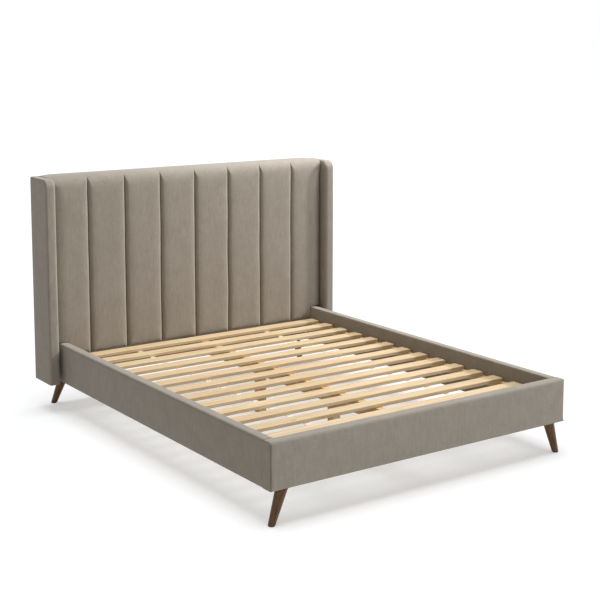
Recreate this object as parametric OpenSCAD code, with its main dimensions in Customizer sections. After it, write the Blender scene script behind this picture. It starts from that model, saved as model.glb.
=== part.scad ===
// Upholstered bed frame with a channelled headboard, side wings and splayed wooden legs.
// Millimetres. The origin is on the floor under the middle of the frame, the foot end faces -Y.

/* [Mattress] */
// Width of the mattress that the frame takes
mattress_w = 1600; // [1350:10:1800]
// Length of the mattress
mattress_l = 2000; // [1900:10:2100]
// Gap between the mattress and each side rail
mattress_gap = 5; // [3:1:15]
// Depth of the mattress well, from the rails' top to the slats
well_d = 70; // [50:5:85]

/* [Rails] */
// Height of the padded rails
rail_h = 210; // [190:5:250]
// Thickness of a rail's board
rail_core_t = 30; // [24:1:36]
// Padding on the outer face of a side rail
side_pad_t = 18; // [14:1:26]
// Padding on the outer face of the foot rail
foot_pad_t = 25; // [16:1:32]
// Cover on the inner face of a rail
inner_pad_t = 7; // [4:1:10]
// Padding on top of a rail's board and at the foot rail's ends
top_pad_t = 10; // [6:1:16]
// Radius along the top outer edge of a rail
rail_edge_r = 14; // [8:1:18]
// Radius at the sewn corners of the foot rail
rail_corner_r = 7; // [4:1:12]
// How far a padded rail's face swells at mid height
rail_crown = 4; // [2:1:8]

/* [Headboard] */
// Height of the headboard above the floor
headboard_h = 1278; // [1100:10:1450]
// Number of upholstered channels
channel_count = 8; // [6:1:10]
// Depth of a channel's padding behind the seams
channel_d = 35; // [25:1:45]
// How far the channels swell in front of the seams
channel_crown = 22; // [14:1:28]
// Share of that swelling that lies in the gently bowed face
face_crown = 8; // [4:1:12]
// Height over which the seams run out below the rolled top edge
seam_drop = 17; // [12:1:24]
// Radius of the rolled top edge
roll_r = 35; // [28:1:45]
// Foam sheet behind the channels
foam_t = 40; // [25:1:55]
// Plywood panel that carries the foam
panel_t = 9; // [6:1:15]
// Depth of the headboard's timbers
post_d = 45; // [38:1:60]
// Width of the headboard's posts
post_w = 145; // [125:5:160]
// Height of the headboard's cross rails
cross_rail_h = 60; // [45:5:80]
// Thickness of the covered board on the back
back_t = 5; // [3:1:8]
// Roll of padding over the headboard's timbers
roll_t = 30; // [26:1:40]

/* [Wings] */
// Gap between a side rail's outer face and the wing's inner face
wing_gap = 28; // [16:1:40]
// Thickness of a padded wing
wing_t = 52; // [46:1:64]
// How far a wing reaches forward of the headboard's seams
wing_reach = 74; // [50:2:150]
// How far the wings' top lies below the headboard's top
wing_drop = 8; // [4:1:30]
// Thickness of a wing's board
wing_core_t = 22; // [16:1:25]
// Padding on a wing's inner face
wing_inner_pad_t = 12; // [8:1:16]
// Radius of a wing's upper front corner
wing_corner_r = 42; // [30:1:70]
// Radius along a wing's inner front edge
wing_inner_edge_r = 18; // [8:1:20]
// Radius along a wing's outer edges
wing_outer_edge_r = 9; // [5:1:12]

/* [Legs] */
// Height of the legs, from the floor to the rails' underside
leg_h = 160; // [120:5:200]
// Diameter of a leg at its top
leg_top_d = 54; // [46:1:60]
// Diameter of a leg at its foot
leg_foot_d = 31; // [26:1:40]
// Sideways splay of the legs in degrees
splay_side = 18.5; // [5:0.5:20]
// Backward splay of the rear legs in degrees
splay_back = 8.5; // [0:0.5:12]
// Distance from a side rail's outer face to the legs' axis at the top
leg_inset = 80; // [64:1:110]
// Distance from the foot rail's outer face to the front legs' axis
front_leg_y = 34; // [30:1:40]
// Thickness of the steel leg plates
leg_plate_t = 4; // [3:0.5:6]
// Length of a leg plate along the rail
leg_plate_l = 84; // [70:1:100]
// Width of a leg plate
leg_plate_w = 40; // [34:1:44]
// Diameter of the bolt between a leg and its plate
hanger_d = 8; // [6:1:10]
// How deep that bolt goes into the leg
hanger_l = 45; // [30:1:60]
// Diameter of the glides under the legs
glide_d = 26; // [20:1:26]
// Thickness of the glides
glide_t = 4; // [2:0.5:6]

/* [Slats] */
// Number of slats
slat_count = 14; // [10:1:16]
// Width of a slat
slat_w = 70; // [55:1:85]
// Thickness of a slat
slat_t = 18; // [15:1:25]
// Clear space between an end slat and the padding next to it
slat_margin = 20; // [10:1:40]
// Clear space between a slat's end and the rail
slat_end_gap = 4; // [2:1:8]
// Width of the ledges that carry the slats
ledge_w = 25; // [20:1:35]
// Height of the ledges
ledge_h = 40; // [30:1:45]
// Width of the webbing straps that space the slats
strap_w = 28; // [20:1:40]
// Thickness of the webbing
strap_t = 1.5; // [1:0.1:2.5]
// Distance of each strap from the middle of the bed
strap_x = 420; // [300:10:560]

/* [Centre support] */
// Width of the centre beam
beam_w = 40; // [30:1:60]
// Height of the centre beam
beam_h = 62; // [45:1:75]
// Side of the square support legs
support_w = 45; // [35:1:60]
// Diameter of the levelling feet
level_d = 40; // [30:1:50]
// Thickness of a levelling foot's base
level_t = 8; // [6:1:12]
// Diameter of a levelling foot's screw
level_screw_d = 8; // [6:1:10]
// How far a levelling foot can be screwed out
level_travel = 18; // [10:1:25]
// Thread left in the leg when the foot is fully out
level_grip = 17; // [12:1:25]

/* [Steel brackets] */
// Thickness of the corner brackets' steel
bracket_t = 4; // [3:0.5:5]
// Length of a corner bracket's legs
bracket_l = 80; // [60:1:90]
// Height of the corner brackets
bracket_h = 60; // [45:1:65]
// Thickness of the beam hangers' steel
hanger_t = 3; // [2:0.5:4]
// Length of the beam that a hanger holds
hanger_grip = 55; // [40:1:80]
// Width of a hanger's flange
hanger_flange = 32; // [25:1:45]
// Diameter of the frame bolts
bolt_d = 8; // [6:1:8]
// Diameter of a frame bolt's head
bolt_head_d = 15; // [12:1:18]
// Thickness of a frame bolt's head
bolt_head_t = 5; // [3:0.5:6]
// Length of a frame bolt below its head
bolt_l = 32; // [26:1:34]
// Diameter of the dowels between the headboard's posts and the wings
dowel_d = 12; // [8:1:14]
// Length of those dowels
dowel_l = 60; // [50:1:62]

/* [Hidden] */
// Running gap around bolts in their holes
bolt_clear = 0.3;
// Gap between a part that moves and the stop that it rests on
stop_gap = 0.3;
// Gap around the end of a rail where the headboard's padding is cut out for it
notch_clear = 1;
// Wood left in a wing's board past the end of a dowel
dowel_skin = 4;
// Small overrun of a cutting tool past the face that it cuts
cut = 1;
// Facets of the round shapes
$fn = 48;
// Facets of the long shallow bows
bow_fn = 180;

// Padded rails
side_t = side_pad_t + rail_core_t + inner_pad_t;
foot_t = foot_pad_t + rail_core_t + inner_pad_t;
rail_z0 = leg_h;
rail_z1 = leg_h + rail_h;
half_in = mattress_w / 2 + mattress_gap;
half_out = half_in + side_t;

// Stations along the bed, from the foot rail's outer face to the headboard's back
overall_l = foot_t + mattress_l + channel_crown + channel_d + foam_t + panel_t + post_d + back_t;
leg_lean = tan(splay_back) / cos(splay_side);
leg_foot_r = leg_foot_d / 2 * sqrt(1 + leg_lean * leg_lean);
// How far the rear feet stand out behind the headboard's back, to a tenth of a millimetre
foot_overhang = round(10 * max(0, (leg_h - glide_t) * leg_lean + leg_foot_r - post_d / 2 - back_t)) / 10;
foot_y = -(overall_l + foot_overhang) / 2;
foot_in_y = foot_y + foot_t;
crown_y = foot_in_y + mattress_l;
seam_y = crown_y + channel_crown;
foam_y = seam_y + channel_d;
panel_y = foam_y + foam_t;
post_y = panel_y + panel_t;
back_y = post_y + post_d;
rear_y = back_y + back_t;

// Slats and what carries them
deck_z = rail_z1 - well_d;
ledge_z1 = deck_z - slat_t;
slat_l = 2 * (half_in - slat_end_gap);
slat_first_y = foot_in_y + slat_margin;
slat_last_y = crown_y - slat_margin - slat_w;
slat_pitch = (slat_last_y - slat_first_y) / (slat_count - 1);
beam_z0 = ledge_z1 - beam_h;
support_z0 = level_t + stop_gap;
support_y = [foot_in_y + mattress_l / 3, foot_in_y + 2 * mattress_l / 3];

// Headboard
half_wing_in = half_out + wing_gap;
half_wing_out = half_wing_in + wing_t;
channel_pitch = 2 * half_wing_in / channel_count;
channel_z0 = ledge_z1 + slat_t / 2;
channel_z1 = headboard_h - seam_drop;
channel_edge_r = channel_crown - face_crown;
timber_z1 = headboard_h - roll_t;
// The front outline leaves the crown on one arc and meets the roll's arc at the seams' top
roll_angle = asin((roll_r - seam_drop) / roll_r);
sweep_r = channel_crown / (1 - cos(roll_angle));
sweep_z = channel_z1 - sweep_r * sin(roll_angle);
roll_y = seam_y + roll_r * cos(roll_angle);
low_rail_h = channel_z0 - rail_z0;
post_x0 = half_wing_in - post_w;
mid_rail_z = (channel_z0 + timber_z1 - cross_rail_h) / 2;

// Wings
wing_y = seam_y - wing_reach;
wing_z1 = headboard_h - wing_drop;
wing_core_x = half_wing_in + wing_inner_pad_t;
wing_pad_t = wing_t - wing_core_t - wing_inner_pad_t;

// Legs, as [side, axis y at the top, backward splay]
leg_x = half_out - leg_inset;
rear_leg_y = post_y + post_d / 2;
LEGS = [[-1, foot_y + front_leg_y, 0], [1, foot_y + front_leg_y, 0],
        [-1, rear_leg_y, splay_back], [1, rear_leg_y, splay_back]];
LEG_NAMES = ["leg_front_left", "leg_front_right", "leg_rear_left", "leg_rear_right"];

// Bolt stations, measured from the rail's underside
bolt_z = rail_z0 + 12 + bracket_h / 2;
bolt_near = 22;
bolt_far = bracket_l - 30;
wing_dowel_z = [rail_z0 + dowel_l, rail_z1, (rail_z1 + timber_z1) / 2, timber_z1 - dowel_l];

// Box between two corners
module block(low, high) {
    translate(low) cube(high - low);
}

// Outline extruded along X: its first coordinate is Y and its second is Z
module along_x(x0, x1) {
    translate([x0, 0, 0]) rotate([90, 0, 90]) linear_extrude(x1 - x0) children();
}

// Outline extruded along Y: its first coordinate is X and its second is Z
module along_y(y0, y1) {
    translate([0, y1, 0]) rotate([90, 0, 0]) linear_extrude(y1 - y0) children();
}

// Outline extruded along Z
module along_z(z0, z1) {
    translate([0, 0, z0]) linear_extrude(z1 - z0) children();
}

// One rounded corner taken off at p, where sx and sy point out of the corner
module corner_cut(p, sx, sy, r) {
    translate(p) scale([sx, sy]) difference() {
        translate([-r, -r]) square(r + cut);
        translate([-r, -r]) circle(r);
    }
}

// Rectangle with its own radius at each corner, in the order low left, low right, high right, high left
module soft_rect(low, high, radii) {
    difference() {
        translate(low) square(high - low);
        if (radii[0] > 0) corner_cut(low, -1, -1, radii[0]);
        if (radii[1] > 0) corner_cut([high[0], low[1]], 1, -1, radii[1]);
        if (radii[2] > 0) corner_cut(high, 1, 1, radii[2]);
        if (radii[3] > 0) corner_cut([low[0], high[1]], -1, 1, radii[3]);
    }
}

// Radius of the bow that rises by crown over the given width
function bow_r(width, crown) = (width * width / 4 + crown * crown) / (2 * crown);

// Disc whose edge is the bowed outer face of a padded rail, with its highest point at p = [face, middle]
module rail_bow(p, side) {
    r = bow_r(rail_h, rail_crown);
    translate([p[0] - side * r, p[1]]) circle(r, $fn = bow_fn);
}

// Section of the right side rail, in X and Z
module side_section() {
    intersection() {
        soft_rect([half_in, rail_z0], [half_out, rail_z1],
                  [0, inner_pad_t / 2, rail_edge_r, inner_pad_t]);
        rail_bow([half_out, (rail_z0 + rail_z1) / 2], 1);
    }
}

// Section of the foot rail, in Y and Z
module foot_section() {
    intersection() {
        soft_rect([foot_y, rail_z0], [foot_in_y, rail_z1],
                  [inner_pad_t / 2, 0, inner_pad_t, rail_edge_r]);
        rail_bow([foot_y, (rail_z0 + rail_z1) / 2], -1);
    }
}

// Bolt with a round head, its head seated at the origin and its shank along +Z
module bolt(length) {
    translate([0, 0, -bolt_head_t]) cylinder(d = bolt_head_d, h = bolt_head_t);
    cylinder(d = bolt_d, h = length);
}

// Hole for that bolt, open on the head's side
module bolt_hole(length) {
    translate([0, 0, -cut]) cylinder(d = bolt_d + 2 * bolt_clear, h = length + cut + bolt_clear);
}

// Bolts or their holes at one right-hand corner bracket: dir is 1 at the foot and -1 at the head,
// and corner_y is the face that the rail's end meets
module corner_bolts(corner_y, dir) {
    for (step = [bolt_near, bolt_far]) {
        translate([half_in - bracket_t, corner_y + dir * step, bolt_z]) rotate([0, 90, 0]) children();
        translate([half_in - step, corner_y + dir * bracket_t, bolt_z]) rotate([dir * 90, 0, 0]) children();
    }
}

// Every frame bolt or hole, on both sides
module all_bolts() {
    for (side = [0, 1]) mirror([side, 0, 0]) {
        corner_bolts(foot_in_y, 1) children();
        corner_bolts(panel_y, -1) children();
    }
}

module all_bolt_holes() {
    all_bolts() bolt_hole(bolt_l);
}

// Dowels between the right post and the wing's board, or with a gap their holes
module right_dowels(gap) {
    dowel_x = wing_core_x + wing_core_t - dowel_skin - dowel_l;
    for (z = wing_dowel_z)
        translate([dowel_x - gap, (post_y + back_y) / 2, z])
            rotate([0, 90, 0]) cylinder(d = dowel_d + 2 * gap, h = dowel_l + 2 * gap);
}

// Board inside the foot rail
module foot_rail_core() {
    color("burlywood") difference() {
        block([-half_out + top_pad_t, foot_y + foot_pad_t, rail_z0],
              [half_out - top_pad_t, foot_in_y - inner_pad_t, rail_z1 - top_pad_t]);
        all_bolt_holes();
    }
}

// Padded cover of the foot rail, open underneath, with bowed faces and softly rounded edges
module foot_rail_cover() {
    color("tan") difference() {
        intersection() {
            along_x(-half_out, half_out) foot_section();
            along_y(foot_y, foot_in_y) intersection() {
                soft_rect([-half_out, rail_z0], [half_out, rail_z1], [0, 0, rail_edge_r, rail_edge_r]);
                rail_bow([half_out, (rail_z0 + rail_z1) / 2], 1);
                rail_bow([-half_out, (rail_z0 + rail_z1) / 2], -1);
            }
            along_z(rail_z0, rail_z1)
                soft_rect([-half_out, foot_y], [half_out, foot_in_y], [rail_corner_r, rail_corner_r, 0, 0]);
        }
        block([-half_out + top_pad_t, foot_y + foot_pad_t, rail_z0 - cut],
              [half_out - top_pad_t, foot_in_y - inner_pad_t, rail_z1 - top_pad_t]);
        all_bolt_holes();
    }
}

// Board inside the right side rail
module side_rail_core() {
    color("burlywood") difference() {
        block([half_in + inner_pad_t, foot_in_y, rail_z0],
              [half_out - side_pad_t, panel_y, rail_z1 - top_pad_t]);
        all_bolt_holes();
    }
}

// Padded cover of the right side rail, open underneath and at its ends
module side_rail_cover() {
    color("tan") difference() {
        along_y(foot_in_y, panel_y) side_section();
        block([half_in + inner_pad_t, foot_in_y - cut, rail_z0 - cut],
              [half_out - side_pad_t, panel_y + cut, rail_z1 - top_pad_t]);
        all_bolt_holes();
    }
}

// Ledge screwed along the inside of the right side rail, chamfered along its lower edge
module slat_ledge() {
    chamfer = ledge_w / 4;
    color("burlywood") along_y(foot_in_y + slat_margin / 2, crown_y - slat_margin / 2)
        polygon([[half_in, ledge_z1], [half_in, ledge_z1 - ledge_h],
                 [half_in - ledge_w + chamfer, ledge_z1 - ledge_h],
                 [half_in - ledge_w, ledge_z1 - ledge_h + chamfer], [half_in - ledge_w, ledge_z1]]);
}

// One right-hand steel angle in a corner of the frame, before its holes
module corner_bracket(corner_y, dir) {
    far_y = corner_y + dir * bracket_l;
    z0 = bolt_z - bracket_h / 2;
    z1 = bolt_z + bracket_h / 2;
    y_low = min(corner_y, far_y);
    block([half_in - bracket_t, y_low, z0], [half_in, y_low + bracket_l, z1]);
    block([half_in - bracket_l, min(corner_y, corner_y + dir * bracket_t), z0],
          [half_in, max(corner_y, corner_y + dir * bracket_t), z1]);
}

// Four like brackets where the side rails meet the foot rail and the headboard
module corner_brackets() {
    color("dimgray") difference() {
        for (side = [0, 1]) mirror([side, 0, 0]) {
            corner_bracket(foot_in_y, 1);
            corner_bracket(panel_y, -1);
        }
        all_bolt_holes();
    }
}

// Folded steel strap that carries one end of the centre beam, at the face face_y
module beam_hanger(face_y, dir) {
    grip_y = face_y + dir * hanger_grip;
    y_low = min(face_y, grip_y);
    y_high = max(face_y, grip_y);
    flange_low = min(face_y, face_y + dir * hanger_t);
    flange_high = max(face_y, face_y + dir * hanger_t);
    half = beam_w / 2;
    block([-half - hanger_t, y_low, beam_z0 - hanger_t], [half + hanger_t, y_high, beam_z0]);
    for (side = [0, 1]) mirror([side, 0, 0]) {
        block([half, y_low, beam_z0 - hanger_t], [half + hanger_t, y_high, ledge_z1 - hanger_t]);
        block([half, flange_low, beam_z0 - hanger_t],
              [half + hanger_flange, flange_high, ledge_z1 - hanger_t]);
    }
}

module beam_hangers() {
    color("dimgray") {
        beam_hanger(foot_in_y, 1);
        beam_hanger(panel_y, -1);
    }
}

module frame_bolts() {
    color("silver") all_bolts() bolt(bolt_l);
}

// Beam along the middle of the bed under the slats
module centre_beam() {
    color("burlywood") block([-beam_w / 2, foot_in_y, beam_z0], [beam_w / 2, panel_y, ledge_z1]);
}

// Square leg under the centre beam, bored from below for its levelling foot
module support_leg(y) {
    color("burlywood") difference() {
        block([-support_w / 2, y - support_w / 2, support_z0], [support_w / 2, y + support_w / 2, beam_z0]);
        translate([0, y, support_z0 - cut])
            cylinder(d = level_screw_d + 2 * bolt_clear, h = cut + level_travel + level_grip + stop_gap);
    }
}

// Foot with a screw that turns in the support leg
module levelling_foot(y) {
    color("dimgray") {
        translate([0, y, 0]) rotate_extrude() intersection() {
            square([level_d / 2, level_t]);
            translate([0, -level_d / 2 + level_t]) circle(level_d / 2 + level_t / 2);
        }
        translate([0, y, 0]) cylinder(d = level_screw_d, h = level_t + level_travel + level_grip);
    }
}

// Slat number i, counted from the foot, with eased long edges
module slat(i) {
    y = slat_first_y + (i - 1) * slat_pitch;
    ease = slat_t / 6;
    color("wheat") along_x(-slat_l / 2, slat_l / 2)
        soft_rect([y, ledge_z1], [y + slat_w, deck_z], [ease, ease, ease, ease]);
}

// Webbing stapled along the underside of the slats
module slat_straps() {
    inset = slat_t / 4;
    color("whitesmoke") for (side = [-1, 1])
        block([side * strap_x - strap_w / 2, slat_first_y + inset, ledge_z1 - strap_t],
              [side * strap_x + strap_w / 2, slat_last_y + slat_w - inset, ledge_z1]);
}

// Right-hand post of the headboard
module headboard_post() {
    color("burlywood") difference() {
        block([post_x0, post_y, rail_z0], [half_wing_in, back_y, timber_z1]);
        all_bolt_holes();
        right_dowels(bolt_clear);
    }
}

// Cross rail of the headboard between the posts
module cross_rail(z0, height) {
    color("burlywood") block([-post_x0, post_y, z0], [post_x0, back_y, z0 + height]);
}

// Plywood panel behind the foam
module headboard_panel() {
    color("burlywood") difference() {
        block([-half_wing_in, panel_y, rail_z0], [half_wing_in, post_y, timber_z1]);
        all_bolt_holes();
    }
}

// Space at the headboard's two lower corners that the ends of the side rails and their brackets take
module rail_notches() {
    for (side = [0, 1]) mirror([side, 0, 0])
        block([half_in - notch_clear, crown_y - cut, channel_z0 - cut],
              [half_wing_in + cut, panel_y + cut, rail_z1 + notch_clear]);
}

module headboard_foam() {
    color("khaki") difference() {
        block([-half_wing_in, foam_y, channel_z0], [half_wing_in, panel_y, timber_z1]);
        rail_notches();
    }
}

// Side outline of the headboard's soft front, in Y and Z: straight down the crown, swept back to the
// seams' top and on over the roll
module front_outline() {
    difference() {
        translate([crown_y, channel_z0]) square([foam_y - crown_y, channel_z1 - channel_z0]);
        translate([crown_y - cut, sweep_z]) difference() {
            square([sweep_r + cut, channel_z1 - sweep_z + cut]);
            translate([sweep_r + cut, 0]) circle(sweep_r, $fn = bow_fn);
        }
        corner_cut([crown_y, channel_z0], -1, -1, channel_edge_r);
    }
}

// Plan outline of channel number i, in X and Y: a bowed face with round shoulders down to the seams
module channel_plan(i) {
    x0 = -half_wing_in + (i - 1) * channel_pitch;
    r = bow_r(channel_pitch, face_crown);
    intersection() {
        soft_rect([x0, crown_y], [x0 + channel_pitch, foam_y], [channel_edge_r, channel_edge_r, 0, 0]);
        translate([x0 + channel_pitch / 2, crown_y + r]) circle(r, $fn = bow_fn);
    }
}

// One padded channel of the headboard
module channel(i) {
    color("tan") difference() {
        intersection() {
            along_z(channel_z0, channel_z1) channel_plan(i);
            along_x(-half_wing_in, half_wing_in) front_outline();
        }
        if (i == 1 || i == channel_count) rail_notches();
    }
}

// Roll of padding over the top of the headboard, from the seams' top to the back
module headboard_top_roll() {
    back_r = roll_t / 3;
    color("tan") along_x(-half_wing_in, half_wing_in) union() {
        difference() {
            translate([seam_y, channel_z1]) square([rear_y - seam_y, seam_drop]);
            translate([seam_y - cut, channel_z1 - cut]) difference() {
                square([roll_y - seam_y + cut, seam_drop + 2 * cut]);
                translate([roll_y - seam_y + cut, seam_drop + cut - roll_r]) circle(roll_r);
            }
            corner_cut([rear_y, headboard_h], 1, 1, back_r);
        }
        translate([foam_y, timber_z1]) square([rear_y - foam_y, channel_z1 - timber_z1]);
    }
}

// Covered board that closes the back between the wings
module headboard_back() {
    color("tan") block([-half_wing_in, back_y, rail_z0], [half_wing_in, rear_y, timber_z1]);
}

// Side outline of a wing, in Y and Z, drawn in by inset on all sides but the bottom
module wing_outline(inset) {
    soft_rect([wing_y + inset, rail_z0], [rear_y - inset, wing_z1 - inset],
              [0, 0, wing_outer_edge_r, wing_corner_r - inset]);
}

// Board inside the right wing
module wing_core() {
    color("burlywood") difference() {
        along_x(wing_core_x, wing_core_x + wing_core_t) wing_outline(top_pad_t);
        right_dowels(bolt_clear);
    }
}

// Padded cover of the right wing, open underneath, with a full front edge
module wing_cover() {
    out_r = wing_outer_edge_r;
    in_r = wing_inner_edge_r;
    color("tan") difference() {
        intersection() {
            along_x(half_wing_in, half_wing_out) wing_outline(0);
            along_z(rail_z0, wing_z1)
                soft_rect([half_wing_in, wing_y], [half_wing_out, rear_y], [in_r, out_r, out_r, 0]);
            along_y(wing_y, rear_y)
                soft_rect([half_wing_in, rail_z0], [half_wing_out, wing_z1], [0, 0, out_r, out_r]);
        }
        along_x(wing_core_x, wing_core_x + wing_core_t) {
            wing_outline(top_pad_t);
            translate([wing_y + top_pad_t, rail_z0 - cut]) square([rear_y - wing_y - 2 * top_pad_t, 2 * cut]);
        }
        right_dowels(bolt_clear);
    }
}

module wing_dowels() {
    color("wheat") for (side = [0, 1]) mirror([side, 0, 0]) right_dowels(0);
}

// Places its children at a leg's top on the rail's underside, with -Z down along the leg
module on_leg(leg) {
    translate([leg[0] * leg_x, leg[1], rail_z0]) rotate([leg[2], -leg[0] * splay_side, 0]) children();
}

// Turned tapered leg, cut level under its plate and over its glide, with a bore for its bolt
module leg(leg) {
    axis_l = leg_h / (cos(splay_side) * cos(leg[2]));
    color("saddlebrown") difference() {
        intersection() {
            on_leg(leg) translate([0, 0, -axis_l - leg_foot_d])
                cylinder(d1 = leg_foot_d - leg_foot_d * (leg_top_d - leg_foot_d) / axis_l,
                         d2 = leg_top_d + leg_foot_d * (leg_top_d - leg_foot_d) / axis_l,
                         h = axis_l + 2 * leg_foot_d);
            translate([leg[0] * leg_x - leg_h, leg[1] - leg_h, glide_t])
                cube([2 * leg_h, 2 * leg_h, leg_h - glide_t - leg_plate_t]);
        }
        on_leg(leg) translate([0, 0, -hanger_l - bolt_clear])
            cylinder(d = hanger_d + 2 * bolt_clear, h = hanger_l + leg_top_d);
    }
}

// Steel plates on the undersides of the foot rail and the headboard's posts
module leg_plates() {
    color("dimgray") for (leg = LEGS) difference() {
        block([leg[0] * leg_x - leg_plate_l / 2, leg[1] - leg_plate_w / 2, rail_z0 - leg_plate_t],
              [leg[0] * leg_x + leg_plate_l / 2, leg[1] + leg_plate_w / 2, rail_z0]);
        on_leg(leg) translate([0, 0, -leg_top_d])
            cylinder(d = hanger_d + 2 * bolt_clear, h = 2 * leg_top_d);
    }
}

// Bolts from the plates into the legs, cut off level with the plates' upper face
module leg_hanger_bolts() {
    color("silver") for (leg = LEGS) intersection() {
        on_leg(leg) translate([0, 0, -hanger_l]) cylinder(d = hanger_d, h = hanger_l + leg_top_d);
        block([leg[0] * leg_x - leg_h, leg[1] - leg_h, 0], [leg[0] * leg_x + leg_h, leg[1] + leg_h, rail_z0]);
    }
}

// Discs under the legs
module leg_glides() {
    color("black") for (leg = LEGS)
        translate([leg[0] * (leg_x + (leg_h - glide_t / 2) * tan(splay_side)),
                   leg[1] + (leg_h - glide_t / 2) * tan(leg[2]) / cos(splay_side), 0])
            cylinder(d = glide_d, h = glide_t);
}

foot_rail_core();
foot_rail_cover();
mirror([1, 0, 0]) side_rail_core();  // side_rail_core_left
side_rail_core();  // side_rail_core_right
mirror([1, 0, 0]) side_rail_cover();  // side_rail_cover_left
side_rail_cover();  // side_rail_cover_right
mirror([1, 0, 0]) slat_ledge();  // slat_ledge_left
slat_ledge();  // slat_ledge_right
corner_brackets();
beam_hangers();
frame_bolts();
centre_beam();
support_leg(support_y[0]);  // support_leg_front
support_leg(support_y[1]);  // support_leg_rear
levelling_foot(support_y[0]);  // levelling_foot_front
levelling_foot(support_y[1]);  // levelling_foot_rear
for (i = [1 : slat_count]) slat(i);
slat_straps();
mirror([1, 0, 0]) headboard_post();  // headboard_post_left
headboard_post();  // headboard_post_right
cross_rail(timber_z1 - cross_rail_h, cross_rail_h);  // headboard_top_rail
cross_rail(mid_rail_z, cross_rail_h);  // headboard_mid_rail
cross_rail(rail_z0, low_rail_h);  // headboard_low_rail
headboard_panel();
headboard_foam();
for (i = [1 : channel_count]) channel(i);
headboard_top_roll();
headboard_back();
mirror([1, 0, 0]) wing_core();  // wing_core_left
wing_core();  // wing_core_right
mirror([1, 0, 0]) wing_cover();  // wing_cover_left
wing_cover();  // wing_cover_right
wing_dowels();
for (i = [0 : 3]) leg(LEGS[i]);
leg_plates();
leg_hanger_bolts();
leg_glides();
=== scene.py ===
import math

import bmesh
import bpy
from mathutils import Matrix, Vector, noise


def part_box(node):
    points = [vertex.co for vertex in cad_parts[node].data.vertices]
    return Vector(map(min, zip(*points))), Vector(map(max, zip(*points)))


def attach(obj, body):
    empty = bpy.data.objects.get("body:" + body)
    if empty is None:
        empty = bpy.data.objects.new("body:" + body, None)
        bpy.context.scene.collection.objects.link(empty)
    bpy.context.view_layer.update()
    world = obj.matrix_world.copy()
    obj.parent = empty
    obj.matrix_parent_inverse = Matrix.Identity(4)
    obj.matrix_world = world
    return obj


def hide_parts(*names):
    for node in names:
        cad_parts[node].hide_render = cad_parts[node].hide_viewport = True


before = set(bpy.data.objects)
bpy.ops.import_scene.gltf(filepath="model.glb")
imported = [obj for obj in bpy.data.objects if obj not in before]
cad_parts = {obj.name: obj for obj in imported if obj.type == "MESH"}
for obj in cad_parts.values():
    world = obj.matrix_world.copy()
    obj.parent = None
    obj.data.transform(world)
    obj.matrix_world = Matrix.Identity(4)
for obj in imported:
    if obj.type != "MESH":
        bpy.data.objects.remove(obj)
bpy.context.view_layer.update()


# Foot rail: a pine board wrapped in foam and chenille velvet. The cover is sewn upright along its two front
# corners, pulled over the board and stapled to its underside, so it is open below.
MM = 0.001
FOOT_RISE = 3 * MM
RAIL_EDGE, INNER_EDGE, END_EDGE, CORNER_EDGE = 14 * MM, 7 * MM, 8 * MM, 3 * MM
SEAM_DEPTH, SEAM_WIDTH, SEAM_REACH = 8.4 * MM, 2.2 * MM, 25 * MM
STRIP, LONG_STRIP = 12 * MM, 22 * MM
CLOTH_MOMENTS, PRESSURE, UNEVEN_LENGTH = 20, 4, 150 * MM
SHARP_ANGLE = math.radians(48)


def linear(code):
    """An sRGB hex colour as linear red, green, blue and alpha"""
    parts = [int(code[i:i + 2], 16) / 255 for i in (0, 2, 4)]
    return [p / 12.92 if p <= 0.04045 else ((p + 0.055) / 1.055) ** 2.4 for p in parts] + [1]


def add(owner, kind, inputs, out=0, **settings):
    """Adds a node to a material or world and returns one of its outputs; inputs holds values, or the sockets
    that feed it, by name or, where several have one name, by number"""
    node = owner.node_tree.nodes.new("ShaderNode" + kind)
    for key, value in settings.items():
        setattr(node, key, value)
    for key, value in inputs.items():
        if isinstance(value, bpy.types.NodeSocket):
            owner.node_tree.links.new(value, node.inputs[key])
        else:
            node.inputs[key].default_value = value
    return node.outputs[out]


def start_material(name, **fixed):
    """A new material with the shader's fixed values; returns it, its shader and its object coordinates"""
    material = bpy.data.materials.new(name)
    material.use_nodes = True
    shader = material.node_tree.nodes["Principled BSDF"]
    for key, value in fixed.items():
        shader.inputs[key.replace("_", " ")].default_value = value
    return material, shader, add(material, "TexCoord", {}, out="Object")


def finish_material(material, shader, colour, relief):
    """Joins a colour and a relief to the shader"""
    material.node_tree.links.new(colour, shader.inputs["Base Color"])
    material.node_tree.links.new(relief, shader.inputs["Normal"])
    return material


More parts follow.
